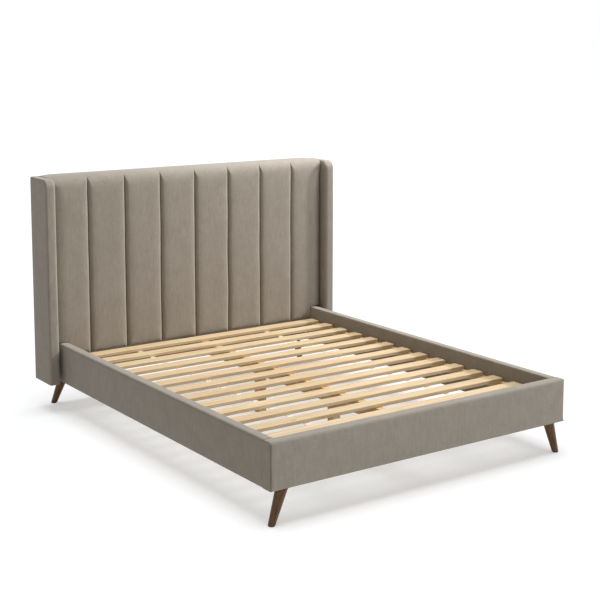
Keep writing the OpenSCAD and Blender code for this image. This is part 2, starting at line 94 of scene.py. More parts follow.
def brushed_velvet():
    """Chenille velvet, woven and brushed upright: upright slubs, cloudy nap and a soft sheen at the edges"""
    material, shader, place = start_material(
        "brushed_chenille_velvet", Roughness=0.9, Specular_IOR_Level=0.2, Sheen_Weight=0.45,
        Sheen_Roughness=0.4, Sheen_Tint=linear("F4F1EC"))
    # Nap patches are 70 mm across and broken up down to 9 mm, slubs 6 mm wide and about 80 mm long. The real
    # yarn is under 1 mm thick and too fine to show, so it is drawn 2.5 mm thick.
    nap = add(material, "TexNoise", {"Vector": place, "Scale": 1 / (70 * MM), "Detail": 3, "Roughness": 0.75})
    upright = add(material, "Mapping", {"Vector": place, "Scale": (1, 1, 0.075)})
    slubs = add(material, "TexNoise", {"Vector": upright, "Scale": 1 / (6 * MM), "Detail": 2})
    twisted = add(material, "Mapping", {"Vector": place, "Scale": (1, 1, 0.45)})
    yarn = add(material, "TexNoise", {"Vector": twisted, "Scale": 1 / (2.5 * MM)})
    nap = add(material, "MapRange", {0: nap, 1: 0.3, 2: 0.7})
    lean = add(material, "Mix", {0: nap, 6: linear("898176"), 7: linear("948C81")}, data_type="RGBA", out=2)
    slub_share = add(material, "MapRange", {0: slubs, 1: 0.3, 2: 0.7, 4: 0.5})
    drawn = add(material, "Mix", {0: slub_share, 6: lean, 7: linear("7A7267")}, data_type="RGBA", out=2)
    fleck_share = add(material, "MapRange", {0: yarn, 1: 0.4, 2: 0.75, 4: 0.35})
    flecked = add(material, "Mix", {0: fleck_share, 6: drawn, 7: linear("ABA295")}, data_type="RGBA", out=2)
    pile = add(material, "Math", {0: slubs, 1: yarn}, operation="ADD")
    relief = add(material, "Bump", {"Height": pile, "Strength": 0.4, "Distance": 0.8 * MM})
    return finish_material(material, shader, flecked, relief)


def planed_timber(name, grain, pale, dark, pore, **fixed):
    """Planed softwood: rings 7 mm apart and pores, drawn out along the grain, a scale for each axis"""
    material, shader, place = start_material(name, **fixed)
    along = add(material, "Mapping", {"Vector": place, "Scale": grain})
    sway = add(material, "TexNoise", {"Vector": along, "Scale": 1 / (60 * MM)}, out=1)
    bent = add(material, "Mix", {0: 0.02, 4: along, 5: sway}, data_type="VECTOR", out=1)
    rings = add(material, "TexNoise", {"Vector": bent, "Scale": 1 / (7 * MM), "Detail": 2})
    fine = add(material, "Mapping", {"Vector": along, "Scale": [0.6 * g if g < 1 else 1 for g in grain]})
    # Pores are 0.3 mm wide in the real wood and drawn 1.5 mm wide
    pores = add(material, "TexNoise", {"Vector": fine, "Scale": 1 / (1.5 * MM)})
    late = add(material, "MapRange", {0: rings, 1: 0.35, 2: 0.65})
    figure = add(material, "Mix", {0: late, 6: linear(pale), 7: linear(dark)}, data_type="RGBA", out=2)
    pore_share = add(material, "MapRange", {0: pores, 1: 0.5, 2: 0.8, 4: 0.5})
    pored = add(material, "Mix", {0: pore_share, 6: figure, 7: linear(pore)}, data_type="RGBA", out=2)
    relief = add(material, "Bump", {"Height": pores, "Strength": 0.2, "Distance": 0.2 * MM})
    return finish_material(material, shader, pored, relief)


def finish_nodes(material, *names):
    """Gives CAD nodes their material"""
    for name in names:
        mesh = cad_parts[name].data
        mesh.materials.clear()
        mesh.materials.append(material)


def strips(low, high, low_edge=0.0, high_edge=0.0, width=STRIP, also=()):
    """Places where a pad is cut into strips: closely through its round edges, evenly between them"""
    flat = high - low - low_edge - high_edge
    count = max(1, round(flat / width))
    places = [low + low_edge + flat * i / count for i in range(count + 1)] + [low, high]
    places += [low + low_edge * i / 4 for i in (1, 2, 3)] + [high - high_edge * i / 4 for i in (1, 2, 3)]
    places = sorted(places)
    for fixed in also:
        places = [p for p in places if abs(p - fixed) > 2 * MM or p in (low, high)] + [fixed]
    places.sort()
    return [p for i, p in enumerate(places) if i == 0 or p - places[i - 1] > 1e-5]


def stuffed_form(across, over, along, axes=(0, 2, 1), left_out=None):
    """A block of strips: a grid over the first two axes, pushed out step by step along the third"""
    form = bmesh.new()
    cells = len(across) - 1, len(over) - 1
    bmesh.ops.create_grid(form, x_segments=cells[0], y_segments=cells[1], size=1)
    for v in form.verts:
        place = Vector()
        place[axes[0]] = across[round((v.co.x + 1) / 2 * cells[0])]
        place[axes[1]] = over[round((v.co.y + 1) / 2 * cells[1])]
        place[axes[2]] = along[0]
        v.co = place
    if left_out:
        spare = [f for f in form.faces if left_out(f.calc_center_median())]
        bmesh.ops.delete(form, geom=spare, context="FACES")
    push_out(form, form.faces[:], axes[2], along)
    return form


def push_out(form, cap, axis, along):
    """Extrudes faces along an axis from place to place; their edges go with them, so no face stays inside"""
    for start, stop in zip(along, along[1:]):
        step = Vector()
        step[axis] = stop - start
        rims = list(dict.fromkeys(edge for face in cap for edge in face.edges))
        grown = bmesh.ops.extrude_face_region(form, geom=cap + rims)["geom"]
        cap = [part for part in grown if isinstance(part, bmesh.types.BMFace)]
        moved = [part for part in grown if isinstance(part, bmesh.types.BMVert)]
        bmesh.ops.translate(form, vec=step, verts=moved)


def round_off(form, axis_a, corner_a, axis_b, corner_b, radius, out_a=1, out_b=1):
    """Rounds a square edge by pulling the points near it onto arcs about the radius's centre"""
    for v in form.verts:
        a = (v.co[axis_a] - corner_a) * out_a + radius
        b = (v.co[axis_b] - corner_b) * out_b + radius
        if a > 0 and b > 0:
            pull = max(a, b) / math.hypot(a, b)
            v.co[axis_a] = corner_a + out_a * (a * pull - radius)
            v.co[axis_b] = corner_b + out_b * (b * pull - radius)


def hollow_below(form, low, high):
    """Pushes the underside up to make the hollow that holds a board"""
    floor_z = min(v.co.z for v in form.verts)
    seat = [f for f in form.faces if f.calc_center_median().z < floor_z + 1e-6
            and low.x < f.calc_center_median().x < high.x and low.y < f.calc_center_median().y < high.y]
    push_out(form, seat, 2, (floor_z, high.z))


def put_in_order(form):
    """Sorts edges and faces by their points' numbers: an extrusion leaves them in an order that changes from
    run to run, and the cloth's result follows it"""
    form.verts.index_update()
    count = len(form.verts)

    def rank(part):
        first, second, third = (sorted(v.index for v in part.verts) + [0])[:3]
        return (first * count + second) * count + third

    form.edges.sort(key=rank)
    form.faces.sort(key=rank)


def make_piece(name, form, material, body="frame"):
    """Turns a form into a smooth piece that rides on a body, with its sharp edges kept"""
    bmesh.ops.recalc_face_normals(form, faces=form.faces[:])
    put_in_order(form)
    crease = form.edges.layers.float.new("crease_edge")
    for edge in form.edges:
        if edge.is_manifold and edge.calc_face_angle(0) > SHARP_ANGLE:
            edge.smooth = False
            edge[crease] = 1
    for face in form.faces:
        face.smooth = True
    mesh = bpy.data.meshes.new(name)
    form.to_mesh(mesh)
    form.free()
    mesh.materials.append(material)
    piece = bpy.data.objects.new(name, mesh)
    bpy.context.scene.collection.objects.link(piece)
    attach(piece, body)
    return piece


def ripple(place, size, seed=0):
    """Smooth unevenness between -1 and 1 that changes over the given distance"""
    return noise.noise(Vector(place) / size + Vector((7.3, 3.1, 5.7)) * seed)


def swell(pads, held, rise, uneven, fullness=1):
    """Lets the stuffing press each cover out where it isn't held, until its fullest point has risen by rise;
    the greater the fullness, the flatter the middle and the tighter the shoulders"""
    settled = {}
    for pad in pads:
        group = pad.vertex_groups.new(name="held")
        for v in pad.data.vertices:
            group.add([v.index], held(v.co), "REPLACE")
        cloth = pad.modifiers.new("cloth", "CLOTH")
        cloth.settings.quality = 4
        cloth.settings.use_pressure = True
        cloth.settings.uniform_pressure_force = PRESSURE
        cloth.settings.vertex_group_mass = "held"
        cloth.settings.effector_weights.gravity = 0
        cloth.collision_settings.use_collision = False
    for moment in range(1, CLOTH_MOMENTS + 1):
        bpy.context.scene.frame_set(moment)
    graph = bpy.context.evaluated_depsgraph_get()
    for pad in pads:
        settled[pad] = [v.co.copy() for v in pad.evaluated_get(graph).data.vertices]
        pad.modifiers.clear()
        pad.vertex_groups.clear()
    bpy.context.scene.frame_set(1)
    for pad in pads:
        points = pad.data.vertices
        places = settled.get(pad) or [v.co + v.normal * MM for v in points]
        steps = [(there - v.co) * (1 - held(v.co)) for v, there in zip(points, places)]
        longest = max(step.length for step in steps)
        normals = [v.normal.copy() for v in points]
        for v, step, normal in zip(points, steps, normals):
            share = step.length / longest
            full = (1 - (1 - share) ** fullness) / max(share, 1e-6)
            v.co += step * full * rise / longest + normal * share * uneven * ripple(v.co, UNEVEN_LENGTH)


def finish_pad(pad):
    modifier = pad.modifiers.new("smooth", "SUBSURF")
    modifier.levels = modifier.render_levels = 1


velvet = brushed_velvet()
SAWN_PINE = dict(pale="D9BD90", dark="C09664", pore="9C764A", Roughness=0.7)
ALONG_X, ALONG_Y, ALONG_Z = (0.05, 1, 1), (1, 0.05, 1), (1, 1, 0.05)
finish_nodes(planed_timber("sawn_pine_across_the_bed", ALONG_X, **SAWN_PINE), "foot_rail_core",
             "headboard_top_rail", "headboard_mid_rail", "headboard_low_rail")

low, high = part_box("foot_rail_cover")
board_low, board_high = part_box("foot_rail_core")
start_low = low + Vector((FOOT_RISE, FOOT_RISE, 0))
start_high = high - Vector((FOOT_RISE, 0, FOOT_RISE / 2))
cuts = [board_low.y, board_high.y] + [start_low.y + step * MM for step in (2, 4.2, 6.5)]
form = stuffed_form(
    strips(start_low.y, start_high.y, RAIL_EDGE, INNER_EDGE, also=cuts),
    strips(start_low.z, start_high.z, 0, RAIL_EDGE),
    strips(start_low.x, start_high.x, END_EDGE, END_EDGE, LONG_STRIP, [board_low.x, board_high.x]),
    axes=(1, 2, 0))
hollow_below(form, board_low, board_high)
round_off(form, 1, start_low.y, 2, start_high.z, RAIL_EDGE, out_a=-1)
round_off(form, 1, start_high.y, 2, start_high.z, INNER_EDGE)
for side in (-1, 1):
    round_off(form, 0, side * start_high.x, 2, start_high.z, END_EDGE, out_a=side)
    round_off(form, 0, side * start_high.x, 1, start_low.y, CORNER_EDGE, out_a=side, out_b=-1)
foot_cover = make_piece("foot_rail_velvet", form, velvet)
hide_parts("foot_rail_cover")


def in_box(place, low, high):
    """Whether a place lies in a box or within 1 mm of it"""
    return all(low[i] - MM < place[i] < high[i] + MM for i in range(3))


def from_seam(place):
    """How far a place lies from the upright seam on the nearer corner, seen from above"""
    inset = (1 - math.sqrt(0.5)) * CORNER_EDGE
    return math.hypot(abs(place.x) - start_high.x + inset, place.y - start_low.y - inset)


def foot_held(place):
    """The cover is held at its underside, its inner face, round the board and along its sewn corners"""
    return float(place.z < low.z + 2 * MM or place.y > high.y - 2 * MM or in_box(place, board_low, board_high)
                 or from_seam(place) < MM)


swell([foot_cover], foot_held, FOOT_RISE, uneven=MM)
# The stitches pull the cover in sharply at the seam itself and gently for a little way on each side
for v in foot_cover.data.vertices:
    apart = from_seam(v.co)
    near = 0.3 * math.exp(-apart / SEAM_REACH) + 0.7 * math.exp(-(apart / SEAM_WIDTH) ** 2)
    pull = SEAM_DEPTH * near * max(0, min(1, (start_high.z - v.co.z) / RAIL_EDGE, (v.co.z - low.z) / STRIP))
    v.co.x -= math.copysign(pull * math.sqrt(0.5), v.co.x)
    v.co.y += pull * math.sqrt(0.5)
finish_pad(foot_cover)


# Side rails: like the foot rail, with the cover open at both ends too. The rails run from the foot rail
# through the headboard's padding to its plywood panel.
SIDE_RISE, HEM_EDGE, JOINT_EDGE = 3 * MM, 3.5 * MM, 2.5 * MM
finish_nodes(planed_timber("sawn_pine_along_the_bed", ALONG_Y, **SAWN_PINE), "side_rail_core_left",
             "side_rail_core_right", "slat_ledge_left", "slat_ledge_right", "centre_beam")
side_covers = []
for side, name in ((-1, "left"), (1, "right")):
    low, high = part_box("side_rail_cover_" + name)
    board_low, board_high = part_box("side_rail_core_" + name)
    inner, outer = sorted((low.x, high.x), key=abs)
    outer -= side * SIDE_RISE
    top = high.z - SIDE_RISE / 2
    wide, edges = sorted((inner, outer)), (INNER_EDGE, RAIL_EDGE)[::side]
    form = stuffed_form(
        strips(*wide, *edges, also=[board_low.x, board_high.x]),
        strips(low.z, top, HEM_EDGE, RAIL_EDGE, also=[board_high.z]),
        strips(low.y, high.y, JOINT_EDGE, width=LONG_STRIP),
        left_out=lambda place: board_low.x < place.x < board_high.x and place.z < board_high.z)
    round_off(form, 0, outer, 2, top, RAIL_EDGE, out_a=side)
    round_off(form, 0, inner, 2, top, INNER_EDGE, out_a=-side)
    round_off(form, 0, outer, 2, low.z, HEM_EDGE, out_a=side, out_b=-1)
    round_off(form, 0, outer, 1, low.y, JOINT_EDGE, out_a=side, out_b=-1)
    round_off(form, 2, top, 1, low.y, JOINT_EDGE, out_b=-1)
    cover = make_piece(f"side_rail_velvet_{name}", form, velvet)
    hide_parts("side_rail_cover_" + name)
    side_covers.append(cover)
board_in, board_out = sorted(map(abs, (board_low.x, board_high.x)))


def side_held(place):
    """Held at its underside, its inner face, round the board and at its ends"""
    round_board = board_in - MM < abs(place.x) < board_out + MM and place.z < board_high.z + MM
    return float(place.z < low.z + 2 * MM or abs(place.x) < abs(inner) + 2 * MM or round_board
                 or place.y < low.y + MM or place.y > high.y - MM)


swell(side_covers, side_held, SIDE_RISE, uneven=MM)
for cover in side_covers:
    finish_pad(cover)


# Corner brackets: four bent steel angles, bolted through the rails and the headboard's posts. The bolts have
# round heads with hexagon sockets.
BRACKET_THICK, BRACKET_BOLT_STEPS = 4 * MM, (22 * MM, 50 * MM)
BOLT_HEAD, BOLT_HEIGHT, BOLT_RADIUS, BOLT_LENGTH = 7.5 * MM, 5 * MM, 4 * MM, 32 * MM


def coated_steel():
    """Mild steel, powder coated satin black: a fine orange peel breaks up the highlights"""
    material, shader, place = start_material("satin_black_powder_coat", Roughness=0.42, Metallic=0.0,
                                             Specular_IOR_Level=0.5)
    peel = add(material, "TexNoise", {"Vector": place, "Scale": 1 / (1.5 * MM)})
    dust = add(material, "TexNoise", {"Vector": place, "Scale": 1 / (25 * MM), "Detail": 4})
    dust_share = add(material, "MapRange", {0: dust, 1: 0.45, 2: 0.8, 4: 0.5})
    colour = add(material, "Mix", {0: dust_share, 6: linear("232324"), 7: linear("3A3A3B")},
                 data_type="RGBA", out=2)
    relief = add(material, "Bump", {"Height": peel, "Strength": 0.25, "Distance": 0.1 * MM})
    return finish_material(material, shader, colour, relief)


def plated_steel():
    """Zinc-plated steel: pale, slightly mottled metal with fine tool marks"""
    material, shader, place = start_material("zinc_plated_steel", Metallic=1.0, Roughness=0.38)
    bloom = add(material, "TexNoise", {"Vector": place, "Scale": 1 / (5 * MM), "Detail": 3})
    marks = add(material, "TexNoise", {"Vector": place, "Scale": 1 / (0.6 * MM)})
    colour = add(material, "Mix", {0: bloom, 6: linear("A9ACAE"), 7: linear("C6C8C9")},
                 data_type="RGBA", out=2)
    relief = add(material, "Bump", {"Height": marks, "Strength": 0.2, "Distance": 0.05 * MM})
    return finish_material(material, shader, colour, relief)


black_steel, zinc_steel = coated_steel(), plated_steel()
finish_nodes(black_steel, "corner_brackets", "beam_hangers", "leg_plates")


def turned(profile, steps=24):
    """A round form turned about Z from points of radius and height"""
    form = bmesh.new()
    line = [form.verts.new((radius, 0, height)) for radius, height in profile]
    edges = [form.edges.new(pair) for pair in zip(line, line[1:])]
    bmesh.ops.spin(form, geom=line + edges, cent=(0, 0, 0), axis=(0, 0, 1), angle=2 * math.pi, steps=steps,
                   use_merge=True)
    bmesh.ops.remove_doubles(form, verts=form.verts[:], dist=1e-6)
    return form


def screw_head(radius, height, shank_radius, shank, corners):
    """A domed head on its shank, with a socket of six corners or a cross of four arms"""
    socket = radius * 0.5
    form = turned([(0, -shank), (shank_radius, -shank), (shank_radius, 0), (radius, 0),
                   (radius, height * 0.3), (radius * 0.86, height * 0.75), (radius * 0.6, height),
                   (socket, height), (socket, height * 0.4), (0, height * 0.4)])
    for v in form.verts:
        if abs(math.hypot(v.co.x, v.co.y) - socket) < 1e-5:
            turn = math.atan2(v.co.y, v.co.x) % (2 * math.pi / corners)
            if corners == 6:
                reach = math.cos(math.pi / 6) / math.cos(turn - math.pi / 6)
            else:
                reach = 1 if min(turn, math.pi / 2 - turn) < 0.2 else 0.3
            v.co.x, v.co.y = v.co.x * reach, v.co.y * reach
    return form


def set_out(pattern, places):
    """Copies a small form to each place, with its +Z turned to the direction given there"""
    form, pattern_mesh = bmesh.new(), bpy.data.meshes.new("pattern")
    bmesh.ops.recalc_face_normals(pattern, faces=pattern.faces[:])
    pattern.to_mesh(pattern_mesh)
    pattern.free()
    for place, toward in places:
        have = len(form.verts)
        form.from_mesh(pattern_mesh)
        form.verts.ensure_lookup_table()
        turn = Vector(toward).to_track_quat("Z", "Y").to_matrix().to_4x4()
        bmesh.ops.transform(form, matrix=Matrix.Translation(place) @ turn, verts=form.verts[have:])
    bpy.data.meshes.remove(pattern_mesh)
    return form


bracket_low, bracket_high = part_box("corner_brackets")
side_plate_x, bolt_z = bracket_high.x - BRACKET_THICK, (bracket_low.z + bracket_high.z) / 2
bolt_places = []
for side in (-1, 1):
    for end_y, inward in ((bracket_low.y, 1), (bracket_high.y, -1)):
        end_plate_y = end_y + inward * BRACKET_THICK
        for step in BRACKET_BOLT_STEPS:
            bolt_places.append(((side * side_plate_x, end_y + inward * step, bolt_z), (-side, 0, 0)))
            bolt_places.append(((side * (bracket_high.x - step), end_plate_y, bolt_z), (0, inward, 0)))
bolt_form = set_out(screw_head(BOLT_HEAD, BOLT_HEIGHT, BOLT_RADIUS, BOLT_LENGTH, 6), bolt_places)
bolts = make_piece("frame_bolts_socket_head", bolt_form, zinc_steel)
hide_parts("frame_bolts")


# Slatted base: pine ledges screwed inside the side rails, a centre beam in two folded steel hangers, and two
# square legs under it. Cross-head screws hold the ledges and the hangers.
LEDGE_SCREWS, LEDGE_END = 8, 120 * MM
HANGER_THICK, HANGER_EDGE, HANGER_STEPS = 3 * MM, 14 * MM, (18 * MM, 40 * MM)
finish_nodes(planed_timber("sawn_pine_upright", ALONG_Z, **SAWN_PINE), "support_leg_front",
             "support_leg_rear", "headboard_post_left", "headboard_post_right")
ledge_low, ledge_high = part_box("slat_ledge_right")
hanger_low, hanger_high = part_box("beam_hangers")
beam_low, beam_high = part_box("centre_beam")
ledge_z, beam_z = (ledge_low.z + ledge_high.z) / 2, (beam_low.z + beam_high.z) / 2
screw_span = ledge_high.y - ledge_low.y - 2 * LEDGE_END
screw_places = []
for side in (-1, 1):
    for i in range(LEDGE_SCREWS):
        y = ledge_low.y + LEDGE_END + screw_span * i / (LEDGE_SCREWS - 1)
        screw_places.append(((side * ledge_low.x, y, ledge_z), (-side, 0, 0)))
    for end_y, inward in ((hanger_low.y, 1), (hanger_high.y, -1)):
        flange_x, flange_y = side * (hanger_high.x - HANGER_EDGE), end_y + inward * HANGER_THICK
        for z in (hanger_low.z + HANGER_EDGE + 2 * MM, hanger_high.z - HANGER_EDGE):
            screw_places.append(((flange_x, flange_y, z), (0, inward, 0)))
        for step in HANGER_STEPS:
            screw_places.append(((side * (beam_high.x + HANGER_THICK), end_y + inward * step, beam_z),
                                 (side, 0, 0)))
make_piece("base_screws", set_out(screw_head(4 * MM, 1.4 * MM, 1.8 * MM, 16 * MM, 4), screw_places),
           zinc_steel)


# Levelling feet: black nylon feet, each moulded in one with its screw, that turn in the centre legs. A ribbed
# rim gives the fingers a grip.
THREAD_PITCH, THREAD_STEPS = 1.25 * MM, 16
RIBS, RIB_DEPTH = 48, 0.035


def moulded_nylon():
    """Black nylon, injection moulded: matt, with a fine spark-eroded grain"""
    material, shader, place = start_material("moulded_black_nylon", Roughness=0.5, Specular_IOR_Level=0.45)
    grain = add(material, "TexNoise", {"Vector": place, "Scale": 1 / (0.8 * MM)})
    scuff = add(material, "TexNoise", {"Vector": place, "Scale": 1 / (12 * MM), "Detail": 4})
    scuff_share = add(material, "MapRange", {0: scuff, 1: 0.5, 2: 0.8, 4: 0.6})
    colour = add(material, "Mix", {0: scuff_share, 6: linear("1B1A1A"), 7: linear("35332F")},
                 data_type="RGBA", out=2)
    relief = add(material, "Bump", {"Height": grain, "Strength": 0.3, "Distance": 0.1 * MM})
    return finish_material(material, shader, colour, relief)


nylon = moulded_nylon()
finish_nodes(nylon, "leg_glides")
for end in ("front", "rear"):
    low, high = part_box("levelling_foot_" + end)
    centre = Vector(((low.x + high.x) / 2, (low.y + high.y) / 2, 0))
    radius, base = (high.x - low.x) / 2, 8 * MM
    form = turned([(0, 0), (radius - 1.2 * MM, 0), (radius, 0.8 * MM), (radius, 1.6 * MM),
                   (18.2 * MM, 3.6 * MM), (15.6 * MM, 6 * MM), (13 * MM, 7.5 * MM), (11 * MM, base),
                   (3.4 * MM, base), (3.4 * MM, high.z - MM), (2.6 * MM, high.z), (0, high.z)], steps=RIBS)
    for v in form.verts:
        reach = math.hypot(v.co.x, v.co.y)
        if reach > 17 * MM and v.co.z > 0.5 * MM:
            rib = 1 - RIB_DEPTH * (round(math.atan2(v.co.y, v.co.x) / (2 * math.pi) * RIBS) % 2)
            v.co.x, v.co.y = v.co.x * rib, v.co.y * rib
    ridge = [form.verts.new((3.2 * MM, 0, base + 0.05 * MM)), form.verts.new((4 * MM, 0, base + 0.62 * MM)),
             form.verts.new((3.2 * MM, 0, base + 1.2 * MM))]
    turns = int((high.z - base - 2.5 * MM) / THREAD_PITCH)
    thread = form.faces.new(ridge)
    bmesh.ops.spin(form, geom=ridge + list(thread.edges) + [thread], cent=(0, 0, 0), axis=(0, 0, 1),
                   dvec=(0, 0, THREAD_PITCH / THREAD_STEPS), angle=2 * math.pi * turns,
                   steps=THREAD_STEPS * turns)
    bmesh.ops.translate(form, vec=centre, verts=form.verts[:])
    foot = make_piece(f"screw_foot_{end}", form, nylon, f"{end}_levelling_foot")
    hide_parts("levelling_foot_" + end)


# Slats: fourteen planed pine slats with eased edges, screwed down at both ends and spaced by two webbing
# straps stapled along their undersides.
SLATS, SLAT_SCREW_INSET, SLAT_SCREW_SINK = 14, 15 * MM, 0.6 * MM
STRAP_WIDTH, STRAP_SAG, STRAP_STRIP = 28 * MM, 2 * MM, 7 * MM
slat_low, slat_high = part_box("slat_1")
slat_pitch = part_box("slat_2")[0].y - slat_low.y


def slat_pine():
    """Planed pine slats, sealed: pale, each of its own tone, with long straight grain and a few knots"""
    material, shader, place = start_material("sealed_pine_slat", Roughness=0.5, Specular_IOR_Level=0.4)
    row = add(material, "SeparateXYZ", {0: place}, out=1)
    row = add(material, "Math", {0: row, 1: slat_low.y - slat_pitch / 4}, operation="SUBTRACT")
    row = add(material, "Math", {0: row, 1: slat_pitch}, operation="DIVIDE")
    row = add(material, "Math", {0: row}, operation="FLOOR")
    own = add(material, "TexWhiteNoise", {1: row}, noise_dimensions="1D")
    shift = add(material, "Math", {0: own, 1: 9.0}, operation="MULTIPLY")
    moved = add(material, "VectorMath", {0: place, 1: shift}, operation="ADD")
    along = add(material, "Mapping", {"Vector": moved, "Scale": (0.045, 1, 1)})
    sway = add(material, "TexNoise", {"Vector": along, "Scale": 1 / (40 * MM)}, out=1)
    bent = add(material, "Mix", {0: 0.025, 4: along, 5: sway}, data_type="VECTOR", out=1)
    rings = add(material, "TexNoise", {"Vector": bent, "Scale": 1 / (9 * MM), "Detail": 2})
    fine = add(material, "Mapping", {"Vector": moved, "Scale": (0.02, 1, 1)})
    # Pores are 0.2 mm wide in the real wood and drawn 1.5 mm wide
    pores = add(material, "TexNoise", {"Vector": fine, "Scale": 1 / (1.5 * MM)})
    knot_place = add(material, "Mapping", {"Vector": moved, "Scale": (0.35, 1, 1)})
    knots = add(material, "TexVoronoi", {"Vector": knot_place, "Scale": 1 / (170 * MM)})
    knot_share = add(material, "MapRange", {0: knots, 1: 0.05, 2: 0.02, 4: 0.7})
    late = add(material, "MapRange", {0: rings, 1: 0.36, 2: 0.64, 4: 0.85})
    figure = add(material, "Mix", {0: late, 6: linear("D8C4A0"), 7: linear("C3A177")},
                 data_type="RGBA", out=2)
    tone_share = add(material, "Math", {0: own, 1: 0.45}, operation="MULTIPLY")
    toned = add(material, "Mix", {0: tone_share, 6: figure, 7: linear("BFA47C")}, data_type="RGBA", out=2)
    pore_share = add(material, "MapRange", {0: pores, 1: 0.55, 2: 0.85, 4: 0.4})
    pored = add(material, "Mix", {0: pore_share, 6: toned, 7: linear("9F7D58")}, data_type="RGBA", out=2)
    knotty = add(material, "Mix", {0: knot_share, 6: pored, 7: linear("7A5436")}, data_type="RGBA", out=2)
    relief = add(material, "Bump", {"Height": pores, "Strength": 0.15, "Distance": 0.2 * MM})
    return finish_material(material, shader, knotty, relief)


finish_nodes(slat_pine(), *[f"slat_{i}" for i in range(1, SLATS + 1)])
screw_places = []
for i in range(1, SLATS + 1):
    low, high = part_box(f"slat_{i}")
    for x in (low.x + SLAT_SCREW_INSET, high.x - SLAT_SCREW_INSET):
        screw_places.append(((x, (low.y + high.y) / 2, high.z - SLAT_SCREW_SINK), (0, 0, 1)))
make_piece("slat_screws", set_out(screw_head(4 * MM, 0.9 * MM, 1.8 * MM, 30 * MM, 4), screw_places),
           zinc_steel)


def woven_webbing():
    """Polyester webbing, woven in a herringbone: off-white, slightly glossy, with a ribbed selvedge"""
    material, shader, place = start_material("woven_polyester_webbing", Roughness=0.7, Sheen_Weight=0.1)
    # Real ribs are 1 mm apart, drawn 2.5 mm apart
    weave = add(material, "TexWave", {"Vector": place, "Scale": 1 / (2.5 * MM) / 6.3, "Distortion": 0.0},
                bands_direction="DIAGONAL", out=1)
    wear = add(material, "TexNoise", {"Vector": place, "Scale": 1 / (30 * MM), "Detail": 3})
    base = add(material, "Mix", {0: wear, 6: linear("D3CEC2"), 7: linear("E2DED5")}, data_type="RGBA", out=2)
    rib_share = add(material, "Math", {0: weave, 1: 0.3}, operation="MULTIPLY")
    colour = add(material, "Mix", {0: rib_share, 6: base, 7: linear("AFA999")}, data_type="RGBA", out=2)
    relief = add(material, "Bump", {"Height": weave, "Strength": 0.4, "Distance": 0.3 * MM})
    return finish_material(material, shader, colour, relief)


webbing = woven_webbing()
slat_width = slat_high.y - slat_low.y
low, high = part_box("slat_straps")
for side, name in ((-1, "left"), (1, "right")):
    edges = sorted((side * high.x, side * (high.x - STRAP_WIDTH)))
    form = stuffed_form(strips(*edges, width=STRAP_STRIP), [low.z, high.z],
                        strips(low.y, high.y, width=slat_pitch / 8))
    for v in form.verts:
        between = ((v.co.y - slat_low.y) % slat_pitch - slat_width) / (slat_pitch - slat_width)
        if between > 0:
            v.co.z -= STRAP_SAG * math.sin(math.pi * between) ** 2
    strap = make_piece(f"webbing_strap_{name}", form, webbing)
    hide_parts("slat_straps")


# Headboard's inside: posts and cross rails of the rails' pine, a birch plywood panel and a sheet of foam
# glued to its front. The foam is cut out round the side rails' ends.
FOAM_STRIP = 60 * MM


def birch_plywood(name, grain, ply_axis):
    """Birch plywood, sanded: pale, with dark and light plies 1.5 mm thick on its cut edges"""
    material, shader, place = start_material(name, Roughness=0.6)
    along = add(material, "Mapping", {"Vector": place, "Scale": grain})
    flame = add(material, "TexNoise", {"Vector": along, "Scale": 1 / (14 * MM), "Detail": 3})
    apart = add(material, "SeparateXYZ", {0: place}, out=ply_axis)
    count = add(material, "Math", {0: apart, 1: 1.5 * MM}, operation="DIVIDE")
    ply = add(material, "Math", {0: count, 1: 2}, operation="FLOORED_MODULO")
    ply_share = add(material, "MapRange", {0: ply, 1: 0.9, 2: 1.1, 4: 0.45})
    face = add(material, "Mix", {0: flame, 6: linear("D8BE93"), 7: linear("C3A176")}, data_type="RGBA", out=2)
    colour = add(material, "Mix", {0: ply_share, 6: face, 7: linear("9C7A52")}, data_type="RGBA", out=2)
    relief = add(material, "Bump", {"Height": flame, "Strength": 0.1, "Distance": 0.2 * MM})
    return finish_material(material, shader, colour, relief)


finish_nodes(birch_plywood("birch_plywood_panel", (0.05, 1, 1), 1), "headboard_panel")


def cut_foam():
    """Polyurethane foam, cut by a hot wire: pale yellow, matt, with open cells"""
    material, shader, place = start_material("cut_polyurethane_foam", Roughness=1.0, Specular_IOR_Level=0.1)
    # Real cells are 0.5 mm across, drawn 2 mm across
    cells = add(material, "TexVoronoi", {"Vector": place, "Scale": 1 / (2 * MM)})
    age = add(material, "TexNoise", {"Vector": place, "Scale": 1 / (120 * MM)})
    base = add(material, "Mix", {0: age, 6: linear("DDD1A6"), 7: linear("D0C191")}, data_type="RGBA", out=2)
    cell_share = add(material, "Math", {0: cells, 1: 0.35}, operation="MULTIPLY")
    colour = add(material, "Mix", {0: cell_share, 6: base, 7: linear("B5A678")}, data_type="RGBA", out=2)
    relief = add(material, "Bump", {"Height": cells, "Strength": 0.5, "Distance": 0.5 * MM})
    return finish_material(material, shader, colour, relief)


low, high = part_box("headboard_foam")
notch_x, notch_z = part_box("side_rail_cover_right")[0].x - MM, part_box("side_rail_cover_right")[1].z + MM
form = stuffed_form(
    strips(low.x, high.x, width=FOAM_STRIP, also=[-notch_x, notch_x]),
    strips(low.z, high.z, width=FOAM_STRIP, also=[notch_z]), strips(low.y, high.y, width=FOAM_STRIP / 3),
    left_out=lambda place: abs(place.x) > notch_x and place.z < notch_z)
foam = make_piece("headboard_foam_sheet", form, cut_foam())
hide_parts("headboard_foam")


